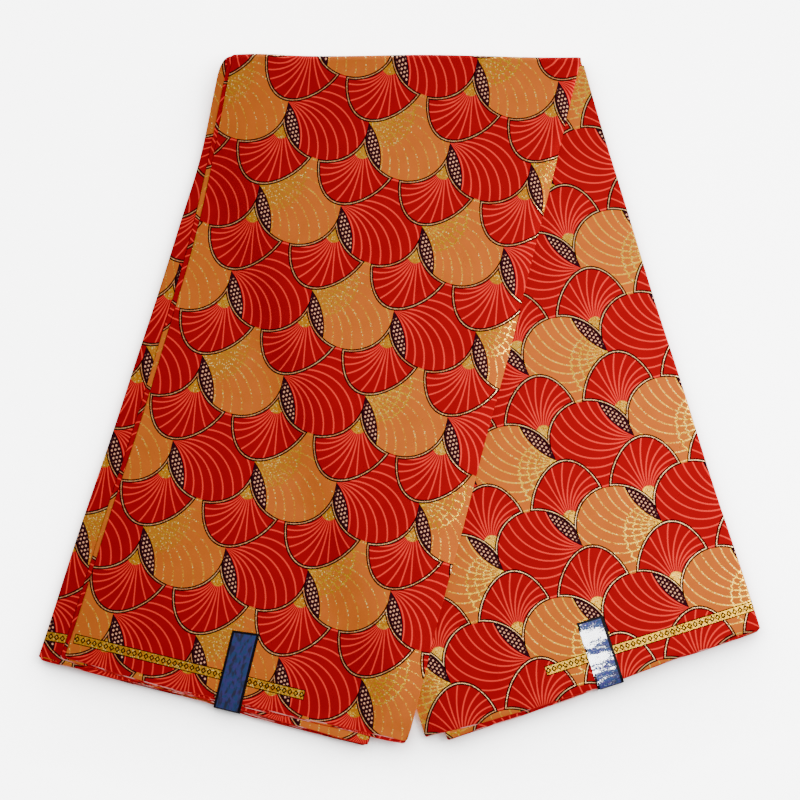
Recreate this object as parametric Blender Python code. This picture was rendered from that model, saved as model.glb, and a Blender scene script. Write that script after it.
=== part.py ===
"""African print fabric: six yards of printed cotton, folded up and laid out flat.

The cloth is folded to and fro along its length into a pile one panel wide. The pile is
folded once across, and its two halves lie on the surface like a V upside down: the front
leg over the rear leg, the fold at the back (+Y), and the selvedges at both hems (-Y).

Each piece is a slab of one or more plies. Its outline is drawn in plan, taken round the
fold, and let down beside the rear leg, where the front leg slopes to the surface.
Metres, +Z up, the surface at Z = 0, the origin under the middle of the whole.
"""
from collections import namedtuple
from math import cos, hypot, pi, sin, sqrt

import bmesh
import bpy
from mathutils import Vector

# Driving dimensions
FOLD_Y = 0.3060              # the fold's outermost line, across the back
WALL = 0.0011                # a ply that shows
SEAM = 0.0003                # space between neighbours
CORE = 0.0040                # the front leg's hidden plies, from the pile's middle out
STEP = WALL + SEAM           # from one ply to the next
PILE = CORE + 3 * STEP       # one leg of the folded pile
FOLD_STEPS = 9               # facets round the fold
FOLD_RADIUS = 0.0050         # the radius at which the fold takes up the cloth's length
CORNER_REACH = 0.018         # how far down the leg a rounded corner of the fold reaches
EDGE_ROUND = 0.00035         # how far a ply's edge is rounded off, over and under
GROOVE = 0.0008              # depth of the grooves between layers
EDGE_STATIONS = 14           # points down each long edge
HEM_STATIONS = 8             # spans along a hem
STATION_SPREAD = 1.6         # above 1, the stations lie closer together near the fold
WAIST_SKEW = 0.45            # moves the narrowest place of an edge up towards the fold

STICKER_WIDTH = 0.0222
STICKER_LENGTH = 0.0575      # on top, up from the hem
STICKER_THICKNESS = 0.0004
STICKER_LIP = 0.0005         # how far its lower end stays off the surface

AXIS_Y = FOLD_Y - PILE       # the fold turns about this line
MIDDLE_Z = PILE              # and at this height, where the two legs meet
LIFT = MIDDLE_Z + SEAM / 2   # the height that the front leg loses beside the rear leg
SAG = 0.0042                 # the height that plies lose past the pile that carries them

# An edge of a piece, seen in plan: where it crosses the fold's crest, where it ends at
# the hem, how far it bows to +X between them, and how far its corner at the fold is cut.
Edge = namedtuple("Edge", "fold_x hem_x hem_y waist corner")

# A layer: how far its hem, its left edge and its right edge lie back from its piece's.
Layer = namedtuple("Layer", "hem left right")
ONE_PLY = [Layer(0.0, 0.0, 0.0)]
FRONT_HIDDEN = [
    Layer(0.0030, 0.0004, 0.0000),
    Layer(0.0008, 0.0000, 0.0012),
    Layer(0.0000, 0.0012, 0.0003),
    Layer(0.0042, 0.0003, 0.0016),
    Layer(0.0018, 0.0010, 0.0006),
]
REAR_HIDDEN = [
    Layer(0.0020, 0.0000, 0.0004),
    Layer(0.0000, 0.0011, 0.0000),
    Layer(0.0032, 0.0002, 0.0013),
    Layer(0.0012, 0.0014, 0.0003),
    Layer(0.0026, 0.0004, 0.0012),
    Layer(0.0006, 0.0010, 0.0000),
]

# A piece: the leg that it lies on, its levels out from the pile's middle, its two edges,
# how far its hem bows down, and its layers from the outside in.
Piece = namedtuple("Piece", "name leg inner outer left right belly layers color")

RED = (0.46, 0.006, 0.004)
DEEP_RED = (0.36, 0.004, 0.003)
PINK_WHITE = (0.78, 0.50, 0.46)
ORANGE = (0.62, 0.20, 0.05)

PIECES = [
    Piece("front_panel", "front", CORE + 2 * STEP + SEAM, PILE,
          Edge(-0.1500, -0.2906, -0.2305, 0.0105, 0.0),
          Edge(0.1635, 0.0060, -0.3022, 0.0015, 0.0), 0.0015, ONE_PLY, RED),
    Piece("front_second_ply", "front", CORE + STEP + SEAM, CORE + 2 * STEP,
          Edge(-0.1535, -0.2946, -0.2310, 0.0095, 0.004),
          Edge(0.1632, 0.0050, -0.3040, 0.0015, 0.0), 0.0015, ONE_PLY, ORANGE),
    Piece("front_under_panel", "front", CORE + SEAM, CORE + STEP,
          Edge(-0.1590, -0.3131, -0.2312, 0.0070, 0.012),
          Edge(0.1610, -0.0270, -0.3050, 0.0015, 0.0), -0.0010, ONE_PLY, DEEP_RED),
    Piece("front_layers", "front", SEAM / 2, CORE,
          Edge(-0.1582, -0.3122, -0.2306, 0.0070, 0.012),
          Edge(0.1605, -0.0300, -0.3058, 0.0015, 0.0), -0.0010, FRONT_HIDDEN, PINK_WHITE),
    Piece("rear_panel", "rear", SEAM / 2, SEAM / 2 + WALL,
          Edge(-0.1500, 0.0207, -0.2960, 0.0, 0.0),
          Edge(0.1637, 0.3129, -0.2046, -0.0025, 0.0), 0.0050, ONE_PLY, RED),
    Piece("rear_second_ply", "rear", SEAM / 2 + STEP, SEAM / 2 + STEP + WALL,
          Edge(-0.1490, 0.0400, -0.2992, 0.0, 0.0),
          Edge(0.1632, 0.3122, -0.2056, -0.0025, 0.0), 0.0, ONE_PLY, ORANGE),
    Piece("rear_layers", "rear", SEAM / 2 + 2 * STEP, PILE,
          Edge(-0.1480, 0.0415, -0.2985, 0.0, 0.0),
          Edge(0.1628, 0.3118, -0.2050, -0.0025, 0.0), 0.0, REAR_HIDDEN, PINK_WHITE),
]

# A drop: pieces that bend down past a carrier's left or right edge, and the most height
# that they lose. Each row is a distance out from that edge, with the share lost there.
# The front leg slopes beside the rear leg to the surface, and single plies sag.
Row = namedtuple("Row", "distance lost")
SLOPE_ROWS = [
    Row(0.008, 0.00),
    Row(0.017, 0.10),
    Row(0.027, 0.42),
    Row(0.036, 0.74),
    Row(0.048, 0.95),
    Row(0.062, 1.00),
]
SAG_ROWS = [
    Row(0.006, 0.00),
    Row(0.014, 0.16),
    Row(0.024, 0.54),
    Row(0.036, 1.00),
]
Drop = namedtuple("Drop", "pieces carrier side height rows")
DROPS = [
    Drop(("front_panel", "front_second_ply", "front_under_panel", "front_layers"),
         "rear_panel", "left", LIFT, SLOPE_ROWS),
    Drop(("front_panel", "front_second_ply"), "front_under_panel", "right", SAG, SAG_ROWS),
    Drop(("rear_panel", "rear_second_ply"), "rear_layers", "left", SAG, SAG_ROWS),
]

# A sticker: the piece under it, and the place of its middle along the hem.
Sticker = namedtuple("Sticker", "name piece share color")
STICKERS = [
    Sticker("front_sticker", "front_panel", 0.484, (0.02, 0.06, 0.20)),
    Sticker("rear_sticker", "rear_panel", 0.549, (0.20, 0.32, 0.55)),
]


def blend(start, end, share):
    return start + (end - start) * share


def leg_side(piece):
    """Up for the front leg, down for the rear one."""
    return 1 if piece.leg == "front" else -1


def edge_x(edge, way):
    """Where an edge is, way metres down the cloth from the fold's crest."""
    hem_way = AXIS_Y - edge.hem_y + FOLD_RADIUS * pi / 2
    share = way / hem_way
    bow = 0.0
    if share > 0:
        bow = edge.waist * sin(pi * share) * (1 + WAIST_SKEW * cos(pi * share))
    near = max(0.0, 1 - abs(way) / CORNER_REACH)
    cut = edge.corner * (1 - sqrt(1 - near ** 2))
    return blend(edge.fold_x, edge.hem_x, share) + bow + cut


def edge_point(piece, edge, turn, run, level, inset):
    """A point of a long edge: run metres down the leg, or turned about the fold's axis."""
    way = run + (pi / 2 - turn) * FOLD_RADIUS
    return Vector((
        edge_x(edge, way) + inset,
        AXIS_Y + level * sin(turn) - run,
        MIDDLE_Z + leg_side(piece) * level * cos(turn),
    ))


def fold_stations(piece):
    """The turns at which the front leg's pieces go round the fold, from underneath."""
    if piece.leg == "rear":
        return []
    return [pi * (1 - step / FOLD_STEPS) for step in range(FOLD_STEPS)]


def long_edge(piece, edge, level, inset, tuck):
    """The points of a long edge, from its end at the fold to the hem."""
    points = [edge_point(piece, edge, turn, 0.0, level, inset) for turn in fold_stations(piece)]
    first_run = 0.0 if piece.leg == "front" else SEAM
    last_run = AXIS_Y - edge.hem_y - tuck
    for step in range(EDGE_STATIONS + 1):
        run = blend(first_run, last_run, (step / EDGE_STATIONS) ** STATION_SPREAD)
        points.append(edge_point(piece, edge, 0.0, run, level, inset))
    return points


def ring(piece, level, left_inset, right_inset, tuck):
    """The loop of points round a piece at one level: left edge, hem, right edge."""
    left = long_edge(piece, piece.left, level, left_inset, tuck)
    right = long_edge(piece, piece.right, level, -right_inset, tuck)
    hem = []
    for step in range(1, HEM_STATIONS):
        share = step / HEM_STATIONS
        point = left[-1].lerp(right[-1], share)
        point.y -= piece.belly * sin(pi * share)
        hem.append(point)
    return left + hem + right[::-1]


def groove_between(piece, upper, lower):
    """How far the groove between two layers lies back: left edge, right edge and hem."""
    depth = EDGE_ROUND if len(piece.layers) == 1 else GROOVE
    return (
        max(upper.left, lower.left) + depth,
        max(upper.right, lower.right) + depth,
        max(upper.hem, lower.hem) + depth,
    )


def edge_profile(piece):
    """Level, left inset, right inset and tuck of each ring, from the outer face in: the
    middle of each layer stands out, and the grooves lie back from both their layers."""
    layer_depth = (piece.outer - piece.inner) / len(piece.layers)
    rows = []
    above = piece.layers[0]
    for number, layer in enumerate(piece.layers):
        top = piece.outer - number * layer_depth
        rows.append((top, *groove_between(piece, above, layer)))
        rows.append((top - layer_depth / 2, layer.left, layer.right, layer.hem))
        above = layer
    rows.append((piece.inner, *groove_between(piece, above, above)))
    return rows


def add_face_of_plies(bm, piece, loop):
    """The broad face inside a ring: a strip for each turn of the fold, then the leg."""
    turns = len(fold_stations(piece))
    for step in range(turns):
        bm.faces.new([loop[step], loop[step + 1], loop[-2 - step], loop[-1 - step]])
    bm.faces.new(loop[turns:len(loop) - turns])


def slab(piece):
    """A closed slab with rounded or layered edges, as if the whole leg lay level."""
    bm = bmesh.new()
    loops = []
    for row in edge_profile(piece):
        loops.append([bm.verts.new(point) for point in ring(piece, *row)])
    for upper, lower in zip(loops, loops[1:]):
        for index in range(len(upper)):
            bm.faces.new([upper[index - 1], upper[index], lower[index], lower[index - 1]])
    add_face_of_plies(bm, piece, loops[0])
    add_face_of_plies(bm, piece, loops[-1])
    bmesh.ops.recalc_face_normals(bm, faces=bm.faces)
    return bm


def find_piece(name):
    return next(piece for piece in PIECES if piece.name == name)


def carrier_frame(drop):
    """A point of the carrier's edge, and the level direction out past that edge."""
    carrier = find_piece(drop.carrier)
    edge = carrier.left if drop.side == "left" else carrier.right
    start = Vector((edge.fold_x, FOLD_Y, 0.0))
    down = (Vector((edge.hem_x, edge.hem_y, 0.0)) - start).normalized()
    to_the_left = Vector((down.y, -down.x, 0.0))
    return start, to_the_left if drop.side == "left" else -to_the_left


def height_lost(drop, distance):
    """The height lost at a distance out from the carrier's edge, straight between rows."""
    if distance <= drop.rows[0].distance:
        return 0.0
    for near, far in zip(drop.rows, drop.rows[1:]):
        if distance <= far.distance:
            share = (distance - near.distance) / (far.distance - near.distance)
            return drop.height * blend(near.lost, far.lost, share)
    return drop.height


def let_down(bm, drop):
    """Bend a piece down past its carrier. Its faces are cut at each row first, so they
    stay flat, and the plies keep their spacing."""
    start, outward = carrier_frame(drop)
    for row in drop.rows:
        everything = bm.verts[:] + bm.edges[:] + bm.faces[:]
        bmesh.ops.bisect_plane(bm, geom=everything, dist=1e-7,
                               plane_co=start + outward * row.distance, plane_no=outward)
    for vert in bm.verts:
        vert.co.z -= height_lost(drop, (vert.co - start).dot(outward))


def cloth_material(name, color):
    material = bpy.data.materials.new(name)
    material.use_nodes = True
    shader = material.node_tree.nodes["Principled BSDF"]
    shader.inputs["Base Color"].default_value = (*color, 1.0)
    shader.inputs["Roughness"].default_value = 0.85
    shader.inputs["Metallic"].default_value = 0.0
    return material


def foil_material(name, color):
    material = cloth_material(name, color)
    shader = material.node_tree.nodes["Principled BSDF"]
    shader.inputs["Roughness"].default_value = 0.25
    shader.inputs["Metallic"].default_value = 0.9
    return material


def make_object(name, bm, material):
    mesh = bpy.data.meshes.new(name)
    bm.to_mesh(mesh)
    bm.free()
    mesh.materials.append(material)
    mesh.shade_smooth()
    mesh.set_sharp_from_angle(angle=pi / 5)
    bpy.context.scene.collection.objects.link(bpy.data.objects.new(name, mesh))


def hem_point(piece, share):
    """A point of a piece's hem in plan, from its left end to its right end."""
    left = Vector((piece.left.hem_x, piece.left.hem_y, 0.0))
    right = Vector((piece.right.hem_x, piece.right.hem_y, 0.0))
    point = left.lerp(right, share)
    point.y -= piece.belly * sin(pi * share)
    return point


def leg_top(leg):
    """The height of a leg's upper face near its hem."""
    return MIDDLE_Z + PILE - LIFT if leg == "front" else MIDDLE_Z - SEAM / 2


def overhang(leg, place, along, down):
    """How far the hems of a leg's pieces reach past a place, at most."""
    reaches = []
    for piece in PIECES:
        if piece.leg == leg:
            left, right = hem_point(piece, 0), hem_point(piece, 1)
            share = (place - left).dot(along) / (right - left).dot(along)
            reaches.append((hem_point(piece, share) - place).dot(down))
    return max(0.0, *reaches)


def sticker_path(reach, top):
    """The sticker's upper face from the side: distance past the hem, and height. It lies
    on the panel, steps down over the lower plies and turns down past their hems."""
    clear = SEAM + STICKER_THICKNESS
    out = clear + SEAM + reach
    return [
        (-STICKER_LENGTH, top),
        (-WALL, top),
        (clear, top - WALL / 2),
        (out, top - 2 * STEP),
        (out, STICKER_LIP),
    ]


def path_normals(path):
    """The outward direction at each point of a side view that runs down to the right."""
    normals = []
    for index in range(len(path)):
        before = path[max(index - 1, 0)]
        after = path[min(index + 1, len(path) - 1)]
        across, down = after[0] - before[0], after[1] - before[1]
        length = hypot(across, down)
        normals.append((-down / length, across / length))
    return normals


def sticker_slab(sticker):
    """A thin strip that follows its path, across the piece that it lies on."""
    piece = find_piece(sticker.piece)
    along = (hem_point(piece, 1) - hem_point(piece, 0)).normalized()
    down = Vector((along.y, -along.x, 0.0))
    middle = hem_point(piece, sticker.share)
    ends = [middle + along * (side * STICKER_WIDTH / 2) for side in (-1, 1)]
    reach = max(overhang(piece.leg, end, along, down) for end in ends)
    path = sticker_path(reach, leg_top(piece.leg) + SEAM + STICKER_THICKNESS)
    bm = bmesh.new()
    rows = []
    for (past, height), (nx, nz) in zip(path, path_normals(path)):
        row = []
        for end, depth in ((0, 0.0), (1, 0.0), (1, STICKER_THICKNESS), (0, STICKER_THICKNESS)):
            point = ends[end] + down * (past - nx * depth)
            point.z = height - nz * depth
            row.append(bm.verts.new(point))
        rows.append(row)
    for near, far in zip(rows, rows[1:]):
        for index in range(4):
            bm.faces.new([near[index - 1], near[index], far[index], far[index - 1]])
    bm.faces.new(rows[0])
    bm.faces.new(rows[-1])
    bmesh.ops.recalc_face_normals(bm, faces=bm.faces)
    return bm


def main():
    for existing in list(bpy.data.objects):
        bpy.data.objects.remove(existing, do_unlink=True)
    for piece in PIECES:
        bm = slab(piece)
        for drop in DROPS:
            if piece.name in drop.pieces:
                let_down(bm, drop)
        make_object(piece.name, bm, cloth_material(piece.name, piece.color))
    for sticker in STICKERS:
        make_object(sticker.name, sticker_slab(sticker), foil_material(sticker.name, sticker.color))


main()
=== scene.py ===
"""The looks of the folded African print fabric.

Eighteen plies of printed cotton lie in a pile, one panel wide, that is folded once across.
Two plies with the fold between them make one leaf, and nine leaves make the pile. Each ply
is worked out as a surface: its two edges come from the model's table, and its height from
the plies under it. Metres, the model's own frame.
"""
from collections import namedtuple

import bpy
import numpy as np
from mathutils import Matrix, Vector


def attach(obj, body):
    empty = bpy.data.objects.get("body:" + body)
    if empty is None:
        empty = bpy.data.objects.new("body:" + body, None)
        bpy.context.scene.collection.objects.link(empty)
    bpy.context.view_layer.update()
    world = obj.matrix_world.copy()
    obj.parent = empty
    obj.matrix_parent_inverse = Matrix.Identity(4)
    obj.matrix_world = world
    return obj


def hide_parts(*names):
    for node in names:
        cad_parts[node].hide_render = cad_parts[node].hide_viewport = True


# The model's sizes, as its source has them
FOLD_Y = 0.3060                          # the folded edge at the back
SEAM = 0.0003                            # between the source's solids
PILE = 0.0082                            # the height of one leg
FOLD_RADIUS = 0.0050
CORNER_REACH = 0.018                     # of the rounded corners at the folded edge
WAIST_SKEW = 0.45
DENT_PLACE, DENT_REACH = 0.095, 0.050    # where the under panel's left edge goes in
WANDER = 0.0007
CORNER_ROUND = 0.0024                    # of a ply's corners at the hem
FRONT_ROUND = 0.0044                     # of the front leg's top two plies' right corners
AXIS_Y = FOLD_Y - PILE                   # where the fold round the back begins
LIFT = PILE + SEAM / 2                   # how far the front leg comes down to the surface
STICKER_HALF = 0.0118

# The cloth
PLIES = 18
GAP = SEAM / 2                       # under the pile, and between its two legs
PITCH = (PILE - GAP) / PLIES         # from one ply to the next
CLOTH = 0.00034                      # thickness
HALF_TURN = FOLD_RADIUS * np.pi / 2  # along the cloth, from the fold's crest to a leg
FOIL_CLEAR = 0.00030                 # from the cloth to the foil's middle
FOIL_HALF = 0.00006                  # half its thickness

# Mesh density
FINE = (52, 76, 14)                  # columns, rows down a leg, rows round the fold
COARSE = (28, 44, 12)
EDGE_COLUMNS = np.array([0.0, 0.002, 0.005, 0.009, 0.014, 0.021])    # shares of the width
INNER_START = 0.034
ROW_EASE = 1.1
ARC = 5                              # points round a folded edge


def smoothstep(low, high, value):
    share = np.clip((value - low) / (high - low), 0.0, 1.0)
    return share * share * (3 - 2 * share)


def blend(start, end, share):
    return start + (end - start) * share


def bell(value):
    return np.exp(-value ** 2)


# Where the plies' edges are, seen in plan

Edge = namedtuple("Edge", "fold_x hem_x hem_y waist corner dent wander", defaults=(0.0, 0.0))
Leg = namedtuple("Leg", "left right belly")

TOP_FRONT = Leg(Edge(-0.1500, -0.2906, -0.2308, 0.0105, 0.0),
                Edge(0.1635, 0.0060, -0.3026, 0.0015, 0.0), 0.0024)
SECOND_FRONT = Leg(Edge(-0.1535, -0.2946, -0.2312, 0.0095, 0.004),
                   Edge(0.1632, 0.0050, -0.3044, 0.0015, 0.0), 0.0022)
UNDER_FRONT = Leg(Edge(-0.1590, -0.3131, -0.2316, 0.0058, 0.012, 0.0032),
                  Edge(0.1610, -0.0270, -0.3052, 0.0015, 0.0), 0.0018)
HIDDEN_FRONT = Leg(Edge(-0.1582, -0.3122, -0.2310, 0.0058, 0.012, 0.0032),
                   Edge(0.1605, -0.0300, -0.3060, 0.0015, 0.0), 0.0018)
TOP_REAR = Leg(Edge(-0.1500, 0.0207, -0.2990, 0.0, 0.0),
               Edge(0.1637, 0.3129, -0.2066, -0.0025, 0.0), 0.0056)
SECOND_REAR = Leg(Edge(-0.1490, 0.0400, -0.3016, 0.0, 0.0),
                  Edge(0.1632, 0.3122, -0.2076, -0.0025, 0.0), 0.0010)
HIDDEN_REAR = Leg(Edge(-0.1480, 0.0415, -0.3010, 0.0, 0.0),
                  Edge(0.1628, 0.3118, -0.2070, -0.0025, 0.0), 0.0010)

# How far a hidden ply's hem, left edge and right edge lie back, in millimetres. Two plies
# that share a fold lie back alike at that edge.
FOURTH_SETBACK = (1.2, 0.0, 0.8)
FRONT_SETBACKS = [(3.0, 0.4, 0.0), (2.2, 1.1, 0.0), (0.8, 0.0, 1.2), (1.5, 0.0, 0.5),
                  (0.0, 1.2, 0.3), (0.7, 0.5, 0.3), (4.2, 0.3, 1.6), (3.4, 0.3, 0.9),
                  (1.8, 1.0, 0.6), (1.0, 0.4, 0.6), (0.3, 0.2, 1.0), (2.6, 0.2, 0.2),
                  (1.6, 0.9, 0.4), (0.4, 0.3, 0.4)]
REAR_SETBACKS = [(2.0, 0.0, 0.4), (1.2, 0.8, 0.4), (0.0, 1.1, 0.0), (0.6, 1.1, 0.7),
                 (3.2, 0.2, 1.3), (2.4, 0.7, 1.3), (1.2, 1.4, 0.3), (0.5, 1.4, 0.9),
                 (2.6, 0.4, 1.2), (1.9, 0.0, 1.2), (0.6, 1.0, 0.0), (1.4, 1.0, 0.5),
                 (0.2, 0.5, 0.8), (2.2, 0.9, 0.8), (1.0, 0.2, 0.3), (0.3, 0.2, 0.9)]


def set_back(leg, setback):
    hem, left, right = (0.001 * value for value in setback)
    return Leg(
        leg.left._replace(fold_x=leg.left.fold_x + left, hem_x=leg.left.hem_x + left,
                          hem_y=leg.left.hem_y + hem),
        leg.right._replace(fold_x=leg.right.fold_x - right, hem_x=leg.right.hem_x - right,
                           hem_y=leg.right.hem_y + hem),
        leg.belly,
    )


def let_wander(legs):
    """Each leaf's edges wander a little from straight, both its plies alike."""
    return [leg._replace(left=leg.left._replace(wander=1.0 + 1.9 * (ply // 2)),
                         right=leg.right._replace(wander=4.0 + 2.3 * (ply // 2)))
            for ply, leg in enumerate(legs)]


# Ply 0 is on top of the front leg and under the rear leg; ply 17 is on top of the rear leg.
FRONT = [TOP_FRONT, SECOND_FRONT, UNDER_FRONT, set_back(UNDER_FRONT, FOURTH_SETBACK)]
FRONT = let_wander(FRONT + [set_back(HIDDEN_FRONT, row) for row in FRONT_SETBACKS])
REAR = [set_back(HIDDEN_REAR, row) for row in REAR_SETBACKS]
REAR = let_wander(REAR + [SECOND_REAR, TOP_REAR])


def edge_x(edge, way):
    """Where an edge is, way metres down the cloth from the fold's crest."""
    share = way / (AXIS_Y - edge.hem_y + HALF_TURN)
    bow = edge.waist * np.sin(np.pi * share) * (1 + WAIST_SKEW * np.cos(np.pi * share))
    bow = bow + edge.dent * bell((way - DENT_PLACE) / DENT_REACH)
    wander = WANDER * np.sin(27 * way + edge.wander) * np.sin(11 * way + 2 * edge.wander)
    near = np.clip(1 - np.abs(way) / CORNER_REACH, 0.0, 1.0)
    cut = edge.corner * (1 - np.sqrt(1 - near ** 2))
    return blend(edge.fold_x, edge.hem_x, share) + np.where(share > 0, bow + wander, 0.0) + cut


def hem_y(leg, x):
    """Where a leg's hem is at x, its line carried on past both ends."""
    share = (x - leg.left.hem_x) / (leg.right.hem_x - leg.left.hem_x)
    bow = leg.belly * np.sin(np.pi * np.clip(share, 0, 1))
    return blend(leg.left.hem_y, leg.right.hem_y, share) - bow


# How high the plies lie
EDGE_FALL = 0.012                    # how far past a ply's edge those above it come down
SAG_REACH, SAG_SHARE = 0.036, 0.75   # the same on a leg's inner side, and how much they do
SAG_FROM, SAG_TO = 0.05, 0.35        # down the leg, where the sag grows
SLOPE_START, SLOPE_END = 0.006, 0.054    # past the rear leg's edge, where the front leg falls


def cover(leg, x, y, front):
    """1 where this ply holds up those above it, down to 0 past its edges. On the side toward
    the other leg they come down slowly, and not all the way."""
    way = AXIS_Y - y + HALF_TURN
    past_left, past_right = edge_x(leg.left, way) - x, x - edge_x(leg.right, way)
    outer, inner = (past_left, past_right) if front else (past_right, past_left)
    reach = EDGE_FALL + (SAG_REACH - EDGE_FALL) * smoothstep(SAG_FROM, SAG_TO, way)
    hem = smoothstep(0, EDGE_FALL, hem_y(leg, x) - y)
    outer = smoothstep(0, EDGE_FALL, outer)
    return (1 - outer) * (1 - smoothstep(0, reach, inner) * SAG_SHARE) * (1 - hem)


def slope_lost(x, y):
    """What the front leg loses beside the rear leg, where it comes down to the surface."""
    start = np.array([TOP_REAR.left.fold_x, FOLD_Y])
    down = np.array([TOP_REAR.left.hem_x, TOP_REAR.left.hem_y]) - start
    down /= np.hypot(*down)
    distance = (x - start[0]) * down[1] - (y - start[1]) * down[0]
    return LIFT * smoothstep(SLOPE_START, SLOPE_END, distance)


def front_height(ply, x, y):
    level = np.full_like(x, GAP + PITCH / 2)
    for other in range(ply + 1, PLIES):
        level = level + PITCH * cover(FRONT[other], x, y, True)
    return PILE + level - slope_lost(x, y)


def rear_height(ply, x, y):
    level = np.full_like(x, GAP + PITCH / 2)
    for other in range(ply):
        level = level + PITCH * cover(REAR[other], x, y, False)
    return level


# The soft ridges and troughs: both ends in plan, how far across, and how high as a share of
# the pile there, so that no two plies meet and the underside stays flat.
CREASES = [
    ((-0.150, 0.275), (-0.030, 0.292), 0.016, -0.030),
    ((0.000, 0.288), (0.150, 0.272), 0.020, -0.022),
    ((-0.200, 0.120), (-0.060, 0.215), 0.030, 0.028),
    ((-0.215, 0.050), (-0.020, 0.085), 0.026, -0.024),
    ((-0.040, 0.240), (0.020, 0.060), 0.034, 0.022),
    ((-0.235, -0.060), (-0.090, -0.020), 0.030, 0.026),
    ((-0.110, -0.070), (0.010, -0.150), 0.026, -0.022),
    ((-0.290, -0.160), (-0.170, -0.130), 0.022, -0.026),
    ((-0.230, -0.240), (-0.205, -0.180), 0.018, 0.040),
    ((-0.125, -0.262), (-0.105, -0.190), 0.020, -0.036),
    ((-0.060, -0.285), (-0.055, -0.210), 0.020, 0.038),
    ((0.080, 0.220), (0.130, 0.100), 0.030, 0.020),
    ((0.150, 0.060), (0.060, -0.060), 0.030, -0.022),
    ((0.215, 0.020), (0.130, -0.130), 0.034, 0.024),
    ((0.080, -0.180), (0.200, -0.120), 0.026, -0.020),
    ((0.130, -0.275), (0.120, -0.200), 0.020, 0.034),
    ((0.235, -0.235), (0.215, -0.160), 0.022, -0.034),
    ((0.290, -0.200), (0.275, -0.110), 0.018, 0.030),
]


def heave(x, y):
    """How much thicker the pile is at a place, as a share of it."""
    total = np.zeros_like(x)
    for start, end, reach, share in CREASES:
        along = np.array(end) - start
        place = ((x - start[0]) * along[0] + (y - start[1]) * along[1]) / (along @ along)
        place = np.clip(place, 0, 1)
        off = np.hypot(x - start[0] - place * along[0], y - start[1] - place * along[1])
        total += share * bell(off / reach)
    return total


# How far the folded edge and the hems stand out from straight: how much, where and how wide
FOLD_OUT = 0.0004
FOLD_SWELLS = [(0.0023, -0.130, 0.032), (0.0014, 0.020, 0.055), (-0.0011, 0.135, 0.045)]
FOLD_SWAY_REACH = 0.070              # either way along the cloth from the fold's crest
TOP_SWELL = (0.0022, -0.205, 0.045)
UNDER_SWELL = (-0.0022, -0.180, 0.050)
LAYER_SWELL = (-0.0007, -0.160, 0.080)    # once for each step above ply 5
REAR_SWELL = (-0.0028, 0.228, 0.035)


def swell(x, row):
    amount, place, reach = row
    return amount * bell((x - place) / reach)


def fold_sway(x):
    return sum((swell(x, row) for row in FOLD_SWELLS), FOLD_OUT)


def hem_sway(ply, x, front):
    ripple = 0.0004 * np.sin(47 * x + 1.7 * ply) + 0.00025 * np.sin(121 * x - 2.6 * ply)
    if not front:
        return ripple + swell(x, REAR_SWELL)
    if ply < 2:
        return ripple + swell(x, TOP_SWELL)
    return ripple + swell(x, UNDER_SWELL) + max(0, 5 - ply) * swell(x, LAYER_SWELL)


def spaced(columns):
    """Where a ply's columns are, closer together at its edges."""
    inner = np.linspace(INNER_START, 1 - INNER_START, columns - 2 * len(EDGE_COLUMNS))
    return np.concatenate([EDGE_COLUMNS, inner, 1 - EDGE_COLUMNS[::-1]])


def corner_loss(distance, radius):
    """How much shorter a ply is at a distance from its edge, where its corner is rounded."""
    near = np.clip(1 - distance / radius, 0, 1)
    return radius * (1 - np.sqrt(1 - near ** 2))


def leg_surface(ply, leg, height, front, across, leg_rows):
    """One leg of a ply, from the fold down to the hem: x, y, z and the way along the cloth."""
    down = np.linspace(0, 1, leg_rows) ** ROW_EASE
    run_left = down * (AXIS_Y - leg.left.hem_y)
    run_right = down * (AXIS_Y - leg.right.hem_y)
    left_x = edge_x(leg.left, run_left + HALF_TURN)[:, None]
    right_x = edge_x(leg.right, run_right + HALF_TURN)[:, None]
    x = blend(left_x, right_x, across)
    run = blend(run_left[:, None], run_right[:, None], across)
    width = leg.right.hem_x - leg.left.hem_x
    lost = corner_loss(across * width, CORNER_ROUND)
    lost += corner_loss((1 - across) * width, FRONT_ROUND if front and ply < 2 else CORNER_ROUND)
    out = leg.belly * np.sin(np.pi * across) + hem_sway(ply, x[-1:], front) - lost
    run = run + out * down[:, None] ** 3
    y = AXIS_Y - run
    return x, y, height(ply, x, y), run + HALF_TURN


def ply_surface(ply, density):
    """The ply's middle surface, rows from the front hem round the fold to the rear hem, and
    columns from left to right, with the way along the cloth from the fold's crest."""
    columns, leg_rows, fold_rows = density
    across = spaced(columns)[None, :]
    fx, fy, fz, fway = leg_surface(ply, FRONT[ply], front_height, True, across, leg_rows)
    rx, ry, rz, rway = leg_surface(ply, REAR[ply], rear_height, False, across, leg_rows)
    turn = np.linspace(0, np.pi, fold_rows + 2)[1:-1, None]
    way = (np.pi / 2 - turn) * FOLD_RADIUS
    turned = (1 - np.cos(turn)) / 2
    edges = [blend(edge_x(FRONT[ply][side], way), edge_x(REAR[ply][side], -way), turned)
             for side in (0, 1)]
    x = blend(edges[0], edges[1], across)
    radius = (fz[0] - rz[0]) / 2
    y = AXIS_Y + radius * np.sin(turn)
    z = (fz[0] + rz[0]) / 2 + radius * np.cos(turn)
    points = np.concatenate([np.stack([fx, fy, fz], -1)[::-1], np.stack([x, y, z], -1),
                             np.stack([rx, ry, rz], -1)])
    way = np.concatenate([fway[::-1], np.broadcast_to(way, x.shape), -rway])
    points[..., 2] *= 1 + heave(points[..., 0], points[..., 1])
    points[..., 1] += fold_sway(points[..., 0]) * smoothstep(FOLD_SWAY_REACH, 0.0, np.abs(way))
    return points, way


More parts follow.
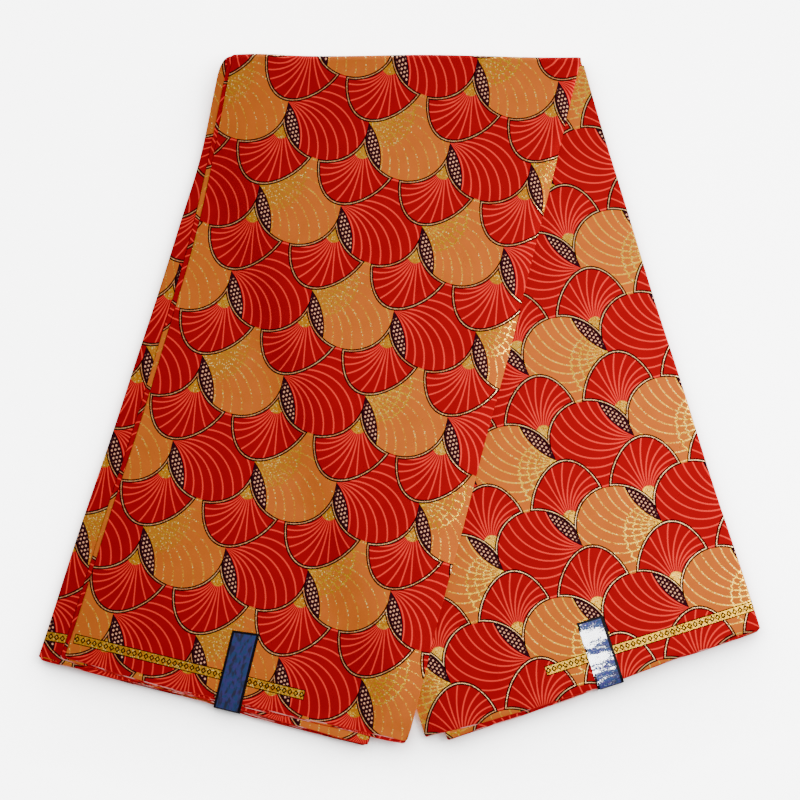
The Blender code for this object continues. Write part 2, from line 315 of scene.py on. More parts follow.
def normals(points):
    """Unit normals of a grid of points, up on the front leg and down on the rear one."""
    along = np.gradient(points, axis=0)
    across = np.gradient(points, axis=1)
    normal = np.cross(across, along)
    normal /= np.linalg.norm(normal, axis=-1, keepdims=True)
    return -normal


# Cloth coordinates: the print in millimetres, from plan metres
FRONT_PRINT = np.array([[971.2, -222.5, 162.6], [-242.9, -936.9, 144.2]])
UNDER_PRINT = np.array([[960.8, -263.6, 293.6], [-282.6, -925.7, 53.5]])
REAR_PRINT = np.array([[-951.1, -386.7, 107.7], [-294.8, 937.1, 95.3]])
FRONT_SHIFT, REAR_SHIFT = np.array([14.6, 5.2]), np.array([29.2, 14.9])    # from ply to ply
UNFOLD = 2 * (AXIS_Y + HALF_TURN)


def print_place(ply, points, way):
    """The place in the print of each point of a ply."""
    y = AXIS_Y + HALF_TURN - way
    if ply % 2:
        matrix, shift, y = REAR_PRINT, (PLIES - 1 - ply) * REAR_SHIFT, UNFOLD - y
    elif ply == 2:
        matrix, shift = UNDER_PRINT, 0.0
    else:
        matrix, shift = FRONT_PRINT, ply * FRONT_SHIFT
    plan = np.stack([points[..., 0], y, np.ones_like(y)], -1)
    return plan @ matrix.T + shift


# The gold strip printed along each selvedge, with a row of lozenges: its two ends in plan
STRIP_FROM_TO = {
    0: ((-0.2829, -0.2137), (-0.0861, -0.2618)),
    2: ((-0.4887, -0.1796), (-0.2907, -0.2141)),
    17: ((0.1262, -0.2419), (0.3190, -0.1820)),
}
FAR_OFF = -900.0                     # millimetres, where a ply has no strip


def strip_place(ply, points, way):
    """Millimetres along the ply's gold strip and across it, far off where it has none."""
    place = np.full(points.shape[:2] + (2,), FAR_OFF)
    if ply not in STRIP_FROM_TO:
        return place
    start, end = np.array(STRIP_FROM_TO[ply])
    along = (end - start) / np.hypot(*(end - start))
    offset = points[..., :2] - start
    here = way < 0 if ply == PLIES - 1 else way > 0
    for index, axis in enumerate((along, np.array([-along[1], along[0]]))):
        place[..., index] = np.where(here, 1000 * offset @ axis, FAR_OFF)
    return place


def hem_place(way):
    """Millimetres to the nearer hem along the cloth, twice."""
    distance = 1000 * np.minimum(way[0] - way, way - way[-1])
    return np.stack([distance, distance], -1)


Ply = namedtuple("Ply", "points normals printed strip hem")


def make_ply(ply, side, density):
    """A ply's points, normals and cloth coordinates, with the leaf's fold in the last column."""
    points, way = ply_surface(ply, density)
    layers = [points, normals(points), print_place(ply, points, way),
              strip_place(ply, points, way), hem_place(way)]
    return Ply(*(layer[:, ::-1] if side == "left" else layer for layer in layers))


def square_to(vectors, others):
    """Unit vectors like these, square to the others."""
    others = others / np.linalg.norm(others, axis=-1, keepdims=True)
    vectors = vectors - others * np.sum(vectors * others, -1, keepdims=True)
    return vectors / np.linalg.norm(vectors, axis=-1, keepdims=True)


def arc_points(outer, inner, radius_change):
    """The half circles that join the edges of two plies, for each row."""
    middle = (outer[:, -1] + inner[:, -1]) / 2
    spread = outer[:, -1] - inner[:, -1]
    half = np.linalg.norm(spread, axis=-1, keepdims=True) / 2
    up = spread / (2 * half)
    out = outer[:, -1] - outer[:, -2]
    out = square_to(square_to(out, np.gradient(outer[:, -1], axis=0)), up)
    turns = np.pi * np.arange(1, ARC + 1) / (ARC + 1)
    return np.stack([middle + (half + radius_change) * (np.cos(turn) * up + np.sin(turn) * out)
                     for turn in turns], 1)


def round_the_leaf(outer, inner, arc):
    """One side of the leaf: the outer ply, round the fold, and back along the inner ply."""
    return np.concatenate([outer, arc, inner[:, ::-1]], 1)


def lip(points):
    """The middle of a ply's cut edge, a little proud."""
    out = square_to(points[:, 0] - points[:, 1], np.gradient(points[:, 0], axis=0))
    return points[:, :1] + (out * CLOTH * 0.4)[:, None]


def add_object(name, data):
    thing = bpy.data.objects.new(name, data)
    bpy.context.scene.collection.objects.link(thing)
    return thing


def make_mesh(name, vertices, faces, layers, material):
    mesh = bpy.data.meshes.new(name)
    mesh.from_pydata(vertices.reshape(-1, 3).tolist(), [], faces)
    corners = np.zeros(len(mesh.loops), np.int32)
    mesh.loops.foreach_get("vertex_index", corners)
    for layer_name, values in layers.items():
        layer = mesh.uv_layers.new(name=layer_name)
        layer.data.foreach_set("uv", values.reshape(-1, 2)[corners].astype(np.float32).ravel())
    mesh.materials.append(material)
    mesh.shade_smooth()
    mesh.validate()
    return add_object(name, mesh)


def ring_faces(rows, columns):
    """Quads of a grid of vertex numbers, each of whose rows closes into a ring."""
    number = np.arange(rows * columns).reshape(rows, columns)
    number = np.concatenate([number, number[:, :1]], 1)
    quads = [number[:-1, :-1], number[:-1, 1:], number[1:, 1:], number[1:, :-1]]
    return np.stack(quads, -1).reshape(-1, 4).tolist()


def make_leaf(name, first_ply, side, density, material):
    outer, inner = (make_ply(ply, side, density) for ply in (first_ply, first_ply + 1))
    outside, inside = (
        round_the_leaf(outer.points + half * outer.normals, inner.points - half * inner.normals,
                       arc_points(outer.points, inner.points, half))
        for half in (CLOTH / 2, -CLOTH / 2))
    ring = np.concatenate([outside, lip(inner.points), inside[:, ::-1], lip(outer.points)], 1)
    rows, columns = ring.shape[:2]
    width = outside.shape[1]
    faces = ring_faces(rows, columns)
    for row, flip in ((0, False), (rows - 1, True)):
        base = row * columns
        rim = list(range(base, base + columns))
        far = rim[width + 1:2 * width + 1][::-1]
        ends = [[rim[i], rim[i + 1], far[i + 1], far[i]] for i in range(width - 1)]
        ends += [[rim[width - 1], rim[width], far[width - 1]], [rim[0], far[0], rim[-1]]]
        faces += [face[::-1] if flip else face for face in ends]
    layers = {}
    for layer_name, a, b in (("Print", outer.printed, inner.printed),
                             ("Strip", outer.strip, inner.strip), ("Hem", outer.hem, inner.hem)):
        one_side = round_the_leaf(a, b, np.repeat(a[:, -1:], ARC, 1))
        layers[layer_name] = np.concatenate([one_side, b[:, :1], one_side[:, ::-1], a[:, :1]], 1)
    return make_mesh(name, ring, faces, layers, material)


# Nodes: arithmetic written as Math nodes

class Number:
    """A socket that can be added, multiplied and compared."""

    def __init__(self, tree, socket):
        self.tree = tree
        self.socket = socket

    def op(self, operation, *others):
        node = self.tree.nodes.new("ShaderNodeMath")
        node.operation = operation
        for index, value in enumerate((self, *others)):
            if isinstance(value, Number):
                self.tree.links.new(value.socket, node.inputs[index])
            else:
                node.inputs[index].default_value = value
        return Number(self.tree, node.outputs[0])

    def __add__(self, other):
        return self.op("ADD", other)

    def __sub__(self, other):
        return self.op("SUBTRACT", other)

    def __mul__(self, other):
        return self.op("MULTIPLY", other)

    def __truediv__(self, other):
        return self.op("DIVIDE", other)

    __radd__ = __add__

    def __rsub__(self, other):
        return (self * -1) + other

    def below(self, other):
        return self.op("LESS_THAN", other)

    def above(self, other):
        return self.op("GREATER_THAN", other)

    def whole(self):
        return self.op("FLOOR")

    def size(self):
        return self.op("ABSOLUTE")

    def root(self):
        return self.op("SQRT")

    def most(self, other):
        return self.op("MAXIMUM", other)

    def least(self, other):
        return self.op("MINIMUM", other)

    def odd(self):
        return self.op("FLOORED_MODULO", 2.0)

    def past_nearest(self):
        """How far past the nearest whole number."""
        return self - (self + 0.5).whole()

    def ramp(self, low, high):
        """0 at low to 1 at high, smoothly."""
        node = self.tree.nodes.new("ShaderNodeMapRange")
        node.interpolation_type = "SMOOTHSTEP"
        self.tree.links.new(self.socket, node.inputs[0])
        ends = (high, low, 1.0, 0.0) if low > high else (low, high, 0.0, 1.0)
        for socket, value in zip(list(node.inputs)[1:5], ends):
            socket.default_value = value
        return Number(self.tree, node.outputs[0])


def length(a, b):
    return (a * a + b * b).root()


def choose(mask, yes, no):
    """yes where the mask is 1, no where it is 0."""
    return no + (yes - no) * mask


def mix(tree, mask, base, other):
    """A colour: other over base where the mask is 1."""
    node = tree.nodes.new("ShaderNodeMix")
    node.data_type = "RGBA"
    tree.links.new(mask.socket, node.inputs[0])
    for socket, value in ((node.inputs[6], base), (node.inputs[7], other)):
        if isinstance(value, tuple):
            socket.default_value = (*value, 1.0)
        else:
            tree.links.new(value, socket)
    return node.outputs[2]


# The print: rows of shells with a spotted lens at their left, and red fans between them.
# Millimetres and radians; x along the selvedge and y down the panel from a shell's apex.
# A pair in a name that ends in RAMP is where a soft edge starts and ends.
REPEAT, ROW, ROW_SHIFT = 74.2, 77.0, -7.4     # along a row, from row to row, and its shift
SHELL_MIDDLE, SHELL_RADIUS = (37.1, 4.7), 37.35
RIB_BEND, RIB_STEP, RIB_FIRST = 0.01186, 0.2147, 0.140
RIB_SHARE, RIB_HALF = 0.20, 0.64              # of the space between, up to a half width
SOFT = 0.3                                    # half of a rib's soft edge
BEND_MOST = 0.98                              # keeps the arcsine's value below 1
LENS_ANGLE, LENS_BEND = 0.684, 0.0096
DOT_ROW, DOT_COLUMN = 3.35, 3.2
DOT_SINE, DOT_COSINE = 0.486, 0.874           # of the lean of the rows of dots
DOT_RAMP, DOT_ROOM_RAMP, DOT_START_RAMP = (1.15, 0.60), (0.8, 1.5), (6.0, 8.0)
FAN_WRAP = 34.7                               # past it lies the next fan's left half
FAN_CIRCLES = [(-27.2, 16.9, 64.3), (11.2, 40.0, 48.0)]    # middle and radius
FAN_ROUNDING = 20.0
FAN_APEX = (-0.9, 10.6)
FAN_SINE, FAN_COSINE = 0.1736, 0.9848         # of the fan's lean
FAN_STEP, FAN_FIRST, FAN_SQUEEZE = 0.00508, 0.11, 0.38
FAN_RIB_SHARE, FAN_RIB_HALF = 0.22, 0.60
HUB_PLACE, HUB_RADIUS, HUB_SOFT = 25.8, 6.9, 0.5
OUTLINE_RAMP, GOLD_START_RAMP, GOLD_END_RAMP = (3.20, 2.80), (0.98, 1.28), (2.02, 1.72)
WEB_REACH, WEB_STEP, WEB_LEAN, WEB_SAG = 23.4, 4.5, 0.527, 0.22
WEB_THREAD_RAMP, WEB_POINT_RAMP = (0.62, 0.22), (6.0, 2.0)
WEB_END_RAMP = (WEB_REACH, WEB_REACH - 0.8)
BLOOM_RAMP = (WEB_REACH + 3.0, WEB_REACH - 9.0)
WEB_PANEL_RAMP = (0.0, 260.0)                 # across the panel, where the web is painted stronger: a painted highlight toward the light

# The gold strip, in millimetres
STRIP_LONG, STRIP_HALF = 206.0, 4.4
STRIP_SIDE, STRIP_END = 0.8, 0.6              # its dark outline, at the sides and the ends
LOZENGE, LOZENGE_HALF_LONG, LOZENGE_HALF_WIDE = 5.15, 2.2, 2.7
LOZENGE_OUTER_RAMP, LOZENGE_INNER_RAMP = (1.16, 1.02), (0.44, 0.56)
WEAVE = 14.6                                  # radians a millimetre

RED = (0.355, 0.0001, 0.0048)
SALMON = (0.93, 0.040, 0.026)
ORANGE = (0.60, 0.135, 0.018)
OLIVE = (0.42, 0.185, 0.010)
GOLD = (0.46, 0.19, 0.004)
# GLINT, SPARK and PALE_GLINT: painted glints, gold coloured as if its flakes caught the light
GLINT = (0.98, 0.56, 0.035)
SPARK = (1.0, 0.78, 0.24)
PALE_GOLD = (0.54, 0.17, 0.062)
PALE_GLINT = (1.0, 0.62, 0.30)
MAROON = (0.028, 0.0025, 0.007)
DOT = (0.90, 0.42, 0.24)
INK = (0.012, 0.002, 0.002)
SELVEDGE_AND_HIGHLIGHT = (0.86, 0.36, 0.33)
HEM_RED = (0.50, 0.012, 0.014)
FOIL_BLUE = (0.024, 0.058, 0.165)
FOIL_VIOLET = (0.050, 0.044, 0.190)
FOIL_DIM = (0.030, 0.026, 0.040)
# FOIL_LILAC_GLARE_FRINGE and FOIL_SILVER_AND_GLARE: the rear foil's silver and the lilac round
# it, partly its own colour and partly painted glare
FOIL_LILAC_GLARE_FRINGE = (0.26, 0.28, 0.44)
FOIL_SILVER_AND_GLARE = (0.96, 0.97, 1.0)
FOIL_BORDER = (0.006, 0.004, 0.006)


def rib_mask(gap, space, share, half):
    """1 on a rib, from the distance to its middle and the space between ribs."""
    return (gap - (space * share).least(half)).ramp(SOFT, -SOFT)


def print_group():
    tree = bpy.data.node_groups.new("wax_print", "ShaderNodeTree")
    for name in ("X", "Y"):
        tree.interface.new_socket(name, in_out="INPUT", socket_type="NodeSocketFloat")
    tree.interface.new_socket("Color", in_out="OUTPUT", socket_type="NodeSocketColor")
    for name in ("Gilt", "Dashes", "Line", "Web", "Bloom"):
        tree.interface.new_socket(name, in_out="OUTPUT", socket_type="NodeSocketFloat")
    given = tree.nodes.new("NodeGroupInput")
    x, y = Number(tree, given.outputs[0]), Number(tree, given.outputs[1])

    # The row, and the column of the shell in this row (a) and in the next one (b)
    row = (y / ROW).whole()
    t = y - row * ROW
    xa = x - row * ROW_SHIFT
    column_a = (xa / REPEAT).whole()
    xa = xa - column_a * REPEAT
    xb = x - (row + 1) * ROW_SHIFT
    column_b = (xb / REPEAT).whole()
    xb = xb - column_b * REPEAT
    from_middle = length(xa - SHELL_MIDDLE[0], t - SHELL_MIDDLE[1]) - SHELL_RADIUS
    in_shell = t.below(SHELL_MIDDLE[1]).most(from_middle.below(0.0))

    # The fan that hangs from the apex, and the distance to its outline
    xf = xa - xa.above(FAN_WRAP) * REPEAT
    rims = [length(xf - cx, t - cy) - r for cx, cy, r in FAN_CIRCLES]
    below_fan = rims[0].op("SMOOTH_MAX", rims[1], FAN_ROUNDING)
    in_fan = below_fan.below(0.0) * (1 - in_shell)
    to_shell = length(SHELL_MIDDLE[0] - xf.size(), t - SHELL_MIDDLE[1]) - SHELL_RADIUS
    rim = (below_fan * -1).least(to_shell)

    # The shell: the one whose apex is in this row, or the next row's
    xs = choose(in_shell, xa, xb)
    ys = t - (1 - in_shell) * ROW
    orange = 1 - (choose(in_shell, column_a, column_b + 1) + row).odd()
    rho = length(xs, ys)
    phi = ys.op("ARCTAN2", xs)
    bent = (rho * RIB_BEND).least(BEND_MOST)
    tau = phi - bent.op("ARCSINE")
    rib = (tau - RIB_FIRST) / RIB_STEP
    rib_space = (1 - bent * bent).root() * rho * RIB_STEP
    off_rib = rib.past_nearest().size()
    shell_rib = rib_mask(off_rib * rib_space, rib_space, RIB_SHARE, RIB_HALF)
    lens_bent = (rho * LENS_BEND).least(BEND_MOST)
    past_lens = (phi - lens_bent.op("ARCSINE") - LENS_ANGLE) * rho
    in_lens = past_lens.above(0.0) * ys.above(-0.5)

    # Dots inside the lens
    u = xs * DOT_SINE + ys * DOT_COSINE
    v = ys * DOT_SINE - xs * DOT_COSINE
    dot_row = (u / DOT_ROW + 0.5).whole()
    u_left = u - dot_row * DOT_ROW
    v_left = (v / DOT_COLUMN + dot_row.odd() * 0.5).past_nearest() * DOT_COLUMN
    room = past_lens.least(from_middle * -1)
    dot = length(u_left, v_left).ramp(*DOT_RAMP) * room.ramp(*DOT_ROOM_RAMP)
    dot = dot * u.ramp(*DOT_START_RAMP)

    # Ribs inside the fan
    fx, fy = xf - FAN_APEX[0], t - FAN_APEX[1]
    far = length(fx, fy)
    lean = (fy * FAN_SINE - fx * FAN_COSINE) * 2 / (far * far)
    squeeze = 1 - lean.below(0.0) * FAN_SQUEEZE
    off_rib_fan = (lean * squeeze / FAN_STEP - FAN_FIRST).past_nearest().size()
    fan_space = far * far * (FAN_STEP / 2) / squeeze
    fan_rib = rib_mask(off_rib_fan * fan_space, fan_space, FAN_RIB_SHARE, FAN_RIB_HALF)
    hub = length(xf, t - HUB_PLACE).ramp(HUB_RADIUS + HUB_SOFT, HUB_RADIUS - HUB_SOFT)
    hub = hub.most(t.below(HUB_PLACE))

    # The gold web near an orange shell's apex: threads across the ribs, sagging between them
    rib_share = off_rib * 2
    reach = rho / (1 + (LENS_ANGLE - tau) * WEB_LEAN)
    thread = reach / WEB_STEP + (1 - rib_share * rib_share) * WEB_SAG
    thread = (thread.past_nearest().size() * WEB_STEP).ramp(*WEB_THREAD_RAMP)
    web = thread.most(shell_rib) * reach.ramp(*WEB_END_RAMP)
    web = web.most(reach.ramp(*WEB_POINT_RAMP))
    bloom = reach.ramp(*BLOOM_RAMP)

    shell = mix(tree, orange, RED, ORANGE)
    shell = mix(tree, shell_rib * (1 - orange), shell, SALMON)
    shell = mix(tree, in_lens, shell, MAROON)
    shell = mix(tree, in_lens * dot, shell, DOT)
    fan = mix(tree, fan_rib, RED, SALMON)
    outline = rim.ramp(*OUTLINE_RAMP)
    gold_line = rim.ramp(*GOLD_START_RAMP) * rim.ramp(*GOLD_END_RAMP)
    fan = mix(tree, outline, fan, INK)
    color = mix(tree, in_fan, shell, fan)
    on_orange = orange * (1 - in_lens) * (1 - in_fan)
    gilt = in_fan * hub * (1 - outline)

    made = tree.nodes.new("NodeGroupOutput")
    tree.links.new(color, made.inputs[0])
    for index, value in enumerate((gilt, shell_rib * on_orange, gold_line * in_fan,
                                   web * on_orange, bloom * on_orange)):
        tree.links.new(value.socket, made.inputs[index + 1])
    return tree


def new_material(name):
    """A material with its nodes and its shader."""
    material = bpy.data.materials.new(name)
    material.use_nodes = True
    return material, material.node_tree, material.node_tree.nodes["Principled BSDF"]


def texture_place(tree, layer):
    """A layer of cloth coordinates: the vector, and its two numbers."""
    node = tree.nodes.new("ShaderNodeUVMap")
    node.uv_map = layer
    split = tree.nodes.new("ShaderNodeSeparateXYZ")
    tree.links.new(node.outputs[0], split.inputs[0])
    return node.outputs[0], Number(tree, split.outputs[0]), Number(tree, split.outputs[1])


def noise(tree, vector, scale, detail):
    node = tree.nodes.new("ShaderNodeTexNoise")
    node.inputs["Scale"].default_value = scale
    node.inputs["Detail"].default_value = detail
    tree.links.new(vector, node.inputs["Vector"])
    return Number(tree, node.outputs[0])


def cells(tree, vector, scale):
    """Cells with a random number each, and the distance to the cell's middle."""
    node = tree.nodes.new("ShaderNodeTexVoronoi")
    node.inputs["Scale"].default_value = scale
    tree.links.new(vector, node.inputs["Vector"])
    split = tree.nodes.new("ShaderNodeSeparateColor")
    tree.links.new(node.outputs["Color"], split.inputs[0])
    return Number(tree, split.outputs[0]), Number(tree, node.outputs["Distance"])


def add_bump(tree, shader, height, strength, distance):
    bump = tree.nodes.new("ShaderNodeBump")
    bump.inputs["Strength"].default_value = strength
    bump.inputs["Distance"].default_value = distance
    tree.links.new(height.socket, bump.inputs["Height"])
    tree.links.new(bump.outputs[0], shader.inputs["Normal"])


def cloth_material(name, print_tree, painted_glint_share, web_left, web_right):
    """Printed cotton with painted glints. The glint share is the share of the gold's flakes
    painted bright as if they caught the light, and web_left and web_right how strongly the gold
    web shows at the panel's two sides, painted brighter on the side toward the light."""
    material, tree, shader = new_material(name)
    links = tree.links
    vector, x, y = texture_place(tree, "Print")
    _, along, across = texture_place(tree, "Strip")
    _, hem, _ = texture_place(tree, "Hem")
    made = tree.nodes.new("ShaderNodeGroup")
    made.node_tree = print_tree
    links.new(x.socket, made.inputs[0])
    links.new(y.socket, made.inputs[1])
    gilt, dashes, line, web, bloom = (Number(tree, made.outputs[index]) for index in range(1, 6))

    # Flakes of gold, partly painted as glints: the bright ones stand for flakes catching the
    # light, and the larger ones stand alone as painted sparks
    # The web painted stronger from web_left to web_right across the panel: a painted highlight
    # where the light falls on the gold
    web_share = x.ramp(*WEB_PANEL_RAMP) * (web_right - web_left) + web_left
    flake, _ = cells(tree, vector, 1.15)
    patches = noise(tree, vector, 0.035, 2.0)
    glint = (flake + (patches - 0.5) * 1.2).ramp(1 - painted_glint_share - 0.16, 1 - painted_glint_share + 0.10)
    spark, from_spark = cells(tree, vector, 0.62)
    spark = spark.above(0.63 - painted_glint_share * 0.20) * from_spark.ramp(0.40, 0.26)

    # The strip, dark where its outline and its lozenges are
    aside = across.size()
    in_strip = along.above(0.0) * along.below(STRIP_LONG) * aside.below(STRIP_HALF)
    strip_ink = aside.above(STRIP_HALF - STRIP_SIDE).most(along.below(STRIP_END))
    strip_ink = strip_ink.most(along.above(STRIP_LONG - STRIP_END))
    lozenge = (along / LOZENGE - 0.5).past_nearest().size() * LOZENGE / LOZENGE_HALF_LONG
    lozenge = lozenge + aside / LOZENGE_HALF_WIDE
    lozenge = lozenge.ramp(*LOZENGE_OUTER_RAMP) * lozenge.ramp(*LOZENGE_INNER_RAMP)
    strip_ink = strip_ink.most(lozenge)
    gilt = choose(in_strip, 1 - strip_ink, gilt)
    line, web, bloom, dashes = (value * (1 - in_strip) for value in (line, web, bloom, dashes))
    dashes = dashes * (glint * 0.55 + 0.22).most(spark)

    mottled = noise(tree, vector, 0.9, 3.0)
    cloud = noise(tree, vector, 0.06, 3.0)
    color = mix(tree, in_strip * strip_ink, made.outputs[0], INK)
    yellow = mix(tree, glint, GOLD, GLINT)
    pale = mix(tree, glint, PALE_GOLD, PALE_GLINT)
    bloom_shown = bloom * (mottled * 0.9 + 0.15).least(0.8) * (1 - web_share * 0.8)
    color = mix(tree, bloom_shown, color, OLIVE)
    color = mix(tree, web * (mottled * 0.5 + web_share).least(1.0), color, yellow)
    color = mix(tree, gilt * (0.62 + mottled * 0.5).least(1.0), color, yellow)
    color = mix(tree, dashes, color, yellow)
    color = mix(tree, line, color, pale)
    sparks = web.most(bloom * (1 - web_share) * 0.65).most(gilt * 0.8).most(dashes)
    # Painted sparks: single flakes coloured as bright highlights
    color = mix(tree, sparks.most(line * 0.5) * spark, color, SPARK)

    # The selvedge: a red edge, pale in places, partly bare and partly painted highlight on its
    # cut edges
    pale_and_highlit = noise(tree, vector, 0.05, 4.0).ramp(0.50, 0.60)
    edge = mix(tree, pale_and_highlit, HEM_RED, SELVEDGE_AND_HIGHLIGHT)
    color = mix(tree, (hem + mottled * 0.6).ramp(1.15, 0.8), color, edge)
    shade = tree.nodes.new("ShaderNodeHueSaturation")
    links.new((cloud * 0.24 + 0.88).socket, shade.inputs["Value"])
    links.new(color, shade.inputs["Color"])
    links.new(shade.outputs[0], shader.inputs["Base Color"])
    gold = gilt.most(dashes).most(line).most(web)
    links.new((gold * glint * 0.75).socket, shader.inputs["Metallic"])
    links.new((0.82 - gold * 0.55 + mottled * 0.06).socket, shader.inputs["Roughness"])
    shader.inputs["Specular IOR Level"].default_value = 0.008

    # Plain weave, with the gold a little proud
    weave = (x * WEAVE).op("SINE") * (y * WEAVE).op("SINE")
    add_bump(tree, shader, weave * 0.35 + mottled * 0.5 + gold * 0.6, 0.35, 0.00006)
    return material


# Where the rear sticker is silver, partly its foil and partly painted glare: millimetres from
# its top, reach, and how much
SILVER_GLARE_BANDS = [(14.5, 7.0, 1.45), (35.0, 6.0, 1.15), (45.5, 2.2, 0.55)]


def foil_material(name, hem_at, mottled):
    """Blue foil with a black border, hem_at millimetres long as far as the fold over the hem.
    The other one is crinkled, and silver in bands across: partly its foil and partly painted
    glare."""
    material, tree, shader = new_material(name)
    vector, side, from_top = texture_place(tree, "Foil")
    stretched = tree.nodes.new("ShaderNodeCombineXYZ")
    across_it, down_it = (side * 0.30, from_top) if mottled else (side, from_top * 0.35)
    tree.links.new(across_it.socket, stretched.inputs[0])
    tree.links.new(down_it.socket, stretched.inputs[1])
    half = STICKER_HALF * 1000
    from_edge = (half - 0.4 - side).least(half + side).least(from_top)
    border = from_edge.least(from_top.ramp(hem_at, hem_at - 2.0) * 3).ramp(2.2, 1.8)
    streaks = noise(tree, stretched.outputs[0], 0.30, 5.0)
    patches = noise(tree, vector, 0.22, 3.0)
    fine = noise(tree, vector, 0.85, 4.0)
    color = mix(tree, patches.ramp(0.40, 0.60), FOIL_BLUE, FOIL_VIOLET)
    color = mix(tree, streaks.ramp(0.48, 0.60) * 0.8, color, FOIL_DIM)
    metallic = (1 - border) * 0.25
    if mottled:
        # Painted glare: silver in bands across, more of it toward one side, with lilac round it,
        # for the light the crinkled foil throws back
        silver_and_glare = (streaks - 0.5) * 3.4 + (fine - 0.5) * 2.6 - side * 0.034 - 0.72
        for place, reach, strength in SILVER_GLARE_BANDS:
            off = (from_top - place) / reach
            silver_and_glare = silver_and_glare + (off * off * -1).op("EXPONENT") * strength
        color = mix(tree, (silver_and_glare + (fine - 0.5) * 2.4).ramp(-0.40, 0.05), color, FOIL_LILAC_GLARE_FRINGE)
        silver_and_glare = silver_and_glare.ramp(-0.12, 0.14)
        color = mix(tree, silver_and_glare, color, FOIL_SILVER_AND_GLARE)
        # The black border is hidden under the painted glare over the side where it lies
        border = border * (1 - silver_and_glare * side.ramp(6.0, 3.0) * from_top.ramp(7.0, 9.0))
        metallic = (1 - border) * (0.12 + silver_and_glare * 0.65)
    color = mix(tree, border, color, FOIL_BORDER)
    tree.links.new(color, shader.inputs["Base Color"])
    tree.links.new(metallic.socket, shader.inputs["Metallic"])
    shader.inputs["Roughness"].default_value = 0.24 if mottled else 0.40
    shader.inputs["Specular IOR Level"].default_value = 0.04
    add_bump(tree, shader, fine + streaks, 0.4, 0.00012)
    return material


# A foil's way over the hem, seen from the side: distance past the panel's hem, and how far
# down from the foil's own top
FRONT_FOIL_PATH = [(0.0006, 0.0001), (0.0014, 0.0004), (0.0026, 0.0007), (0.0044, 0.0009),
                   (0.0064, 0.0010), (0.0077, 0.0013), (0.0083, 0.0022), (0.0085, 0.0045),
                   (0.0085, 0.0077)]
REAR_FOIL_PATH = [(0.0006, 0.0002), (0.0012, 0.0006), (0.0016, 0.0016), (0.0018, 0.0040),
                  (0.0018, 0.0077)]
FOIL_ROWS = 30
FOIL_COLUMNS = np.concatenate([[-1, -0.985], np.linspace(-0.9, 0.9, 10), [0.985, 1]])
ON_PANEL = -0.001                    # how near the hem the foil still takes the panel's height


def leg_hem_point(leg, share):
    x = blend(leg.left.hem_x, leg.right.hem_x, share)
    return np.array([x, hem_y(leg, x)])


def make_foil(name, leg, share, height, ply, long, path, slant, material):
    """A foil strip that lies on the panel and goes down over the hems."""
    along = leg_hem_point(leg, 1) - leg_hem_point(leg, 0)
    along /= np.hypot(*along)
    down = np.array([along[1], -along[0]])
    side = FOIL_COLUMNS * STICKER_HALF
    line = leg_hem_point(leg, share) + side[:, None] * along
    rows = [(-long, 0.0)]
    rows += [(past, 0.0) for past in np.linspace(-long + 0.0003, ON_PANEL, FOIL_ROWS)] + path
    points = np.zeros((len(rows), len(side), 3))
    local = np.zeros((len(rows), len(side), 2))
    for row, (past, drop) in enumerate(rows):
        run = past - slant * side / STICKER_HALF * max(0.0, -past / long)
        x, y = (line + np.minimum(run, ON_PANEL)[:, None] * down).T
        top = height(ply, x, y) * (1 + heave(x, y))
        points[row, :, :2] = line + run[:, None] * down
        points[row, :, 2] = top + CLOTH / 2 + FOIL_CLEAR - drop
        local[row] = np.stack([side, np.full_like(side, past + long)], -1)
    normal = normals(points)
    normal *= np.sign(normal[..., 2:].mean())
    shell = np.concatenate([points + FOIL_HALF * normal,
                            (points - FOIL_HALF * normal)[:, ::-1]], 1)
    count, columns = shell.shape[:2]
    faces = ring_faces(count, columns)
    for base in (0, (count - 1) * columns):
        faces += [[base + i, base + i + 1, base + columns - 2 - i, base + columns - 1 - i]
                  for i in range(len(side) - 1)]
    uv = np.concatenate([local, local[:, ::-1]], 1) * 1000
    return make_mesh(name, shell, faces, {"Foil": uv}, material)


# Build
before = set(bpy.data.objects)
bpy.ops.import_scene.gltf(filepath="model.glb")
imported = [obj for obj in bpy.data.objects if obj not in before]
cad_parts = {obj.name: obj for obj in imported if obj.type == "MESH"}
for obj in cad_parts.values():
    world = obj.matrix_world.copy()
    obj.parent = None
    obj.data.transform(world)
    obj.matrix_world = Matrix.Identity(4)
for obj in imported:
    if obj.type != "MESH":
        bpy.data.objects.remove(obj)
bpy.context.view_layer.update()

print_tree = print_group()
cotton = cloth_material("wax_print_cotton", print_tree, 0.28, 0.12, 1.00)
# The rear leaf's cotton is a painted lit copy of the front's: more of its gold painted as glints
# and its web painted bright, for the light that falls on the rear leg
lit_cotton_copy = cloth_material("wax_print_cotton_painted_lit", print_tree, 0.70, 0.72, 0.72)

# Each leaf's name, material, density and the nodes it stands for, from the front's top down
LEAVES = [("leaf_top", cotton, FINE, ("front_panel", "front_second_ply")),
          ("leaf_under", cotton, FINE, ("front_under_panel",))]
LEAVES += [(f"leaf_{number}", cotton, COARSE, ("front_layers", "rear_layers"))
           for number in range(3, 9)]
LEAVES += [("leaf_rear", lit_cotton_copy, FINE, ("rear_panel", "rear_second_ply"))]
for index, (name, material, density, stands_for) in enumerate(LEAVES):
    leaf = make_leaf(name, 2 * index, "left" if index % 2 else "right", density, material)
    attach(leaf, "root")
    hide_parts(*stands_for)

foil_front = make_foil("foil_front", TOP_FRONT, 0.480, front_height, 0, 0.0612, FRONT_FOIL_PATH,
                       0.0012, foil_material("foil_front", 69.6, False))
foil_rear = make_foil("foil_rear", TOP_REAR, 0.554, rear_height, PLIES - 1, 0.0590,
                      REAR_FOIL_PATH, 0.0, foil_material("foil_rear", 61.0, True))
for foil, node, slot in ((foil_front, "front_sticker", "blue_foil"),
                         (foil_rear, "rear_sticker", "silver_foil")):
    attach(foil, "root")
    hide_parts(node)
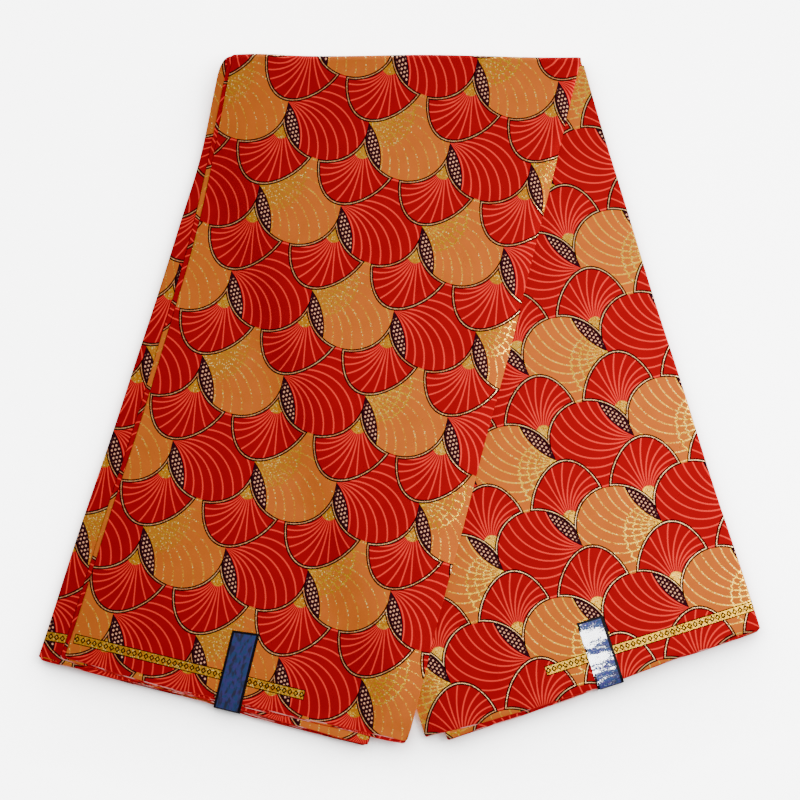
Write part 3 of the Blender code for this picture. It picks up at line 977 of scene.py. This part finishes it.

# The floor glows white, and less in front of the cloth: a painted shadow, the glow dimmed where
# the cloth hides the floor, where its shade falls
FLOOR_HALF = 6
SHADE_REACH, SHADE_FROM, SHADE_POWER, GLOW = 0.09, (0.10, 0.70, 0.70), 3.2, 6.2
floor_material, floor_tree, floor_shader = new_material("pale_floor")
floor_shader.inputs["Base Color"].default_value = (0.9, 0.9, 0.9, 1)
floor_shader.inputs["Roughness"].default_value = 0.9
floor_shader.inputs["Emission Color"].default_value = (1, 1, 1, 1)
shade = floor_tree.nodes.new("ShaderNodeAmbientOcclusion")
shade.samples = 8
shade.inputs["Distance"].default_value = SHADE_REACH
shade_from = floor_tree.nodes.new("ShaderNodeCombineXYZ")
for index, value in enumerate(SHADE_FROM):
    shade_from.inputs[index].default_value = value
floor_tree.links.new(shade_from.outputs[0], shade.inputs["Normal"])
glow = Number(floor_tree, shade.outputs["AO"]).op("POWER", SHADE_POWER) * GLOW
floor_tree.links.new(glow.socket, floor_shader.inputs["Emission Strength"])
floor_mesh = bpy.data.meshes.new("floor")
floor_mesh.from_pydata([(x * FLOOR_HALF, y * FLOOR_HALF, 0)
                        for x, y in ((-1, -1), (1, -1), (1, 1), (-1, 1))], [], [(0, 1, 2, 3)])
floor_mesh.materials.append(floor_material)
add_object("floor", floor_mesh)

world = bpy.data.worlds.new("studio")
world.use_nodes = True
world.node_tree.nodes["Background"].inputs[0].default_value = (1, 1, 1, 1)
world.node_tree.nodes["Background"].inputs[1].default_value = 0.375
bpy.context.scene.world = world


def point_at(thing, place, aim):
    thing.location = place
    thing.rotation_mode = "QUATERNION"
    thing.rotation_quaternion = (Vector(aim) - Vector(place)).to_track_quat("-Z", "Y")


def add_light(name, place, aim, size, spread, power):
    light = bpy.data.lights.new(name, "AREA")
    light.size = size
    light.spread = spread
    light.energy = power
    point_at(add_object(name, light), place, aim)


add_light("key", (0.80, 0.02, 0.80), (0.10, 0.01, 0.0), 0.5, 1.57, 4.3)
add_light("glare", (0.29, -0.24, 1.50), (0.15, -0.20, 0.0), 0.12, 3.1416, 2.3)

camera = add_object("camera", bpy.data.cameras.new("camera"))
camera.data.sensor_width = 36
camera.data.lens = 91.525
point_at(camera, (0.0, -0.22336, 1.78658), (0.0, -0.0040, 0.0))
bpy.context.scene.camera = camera
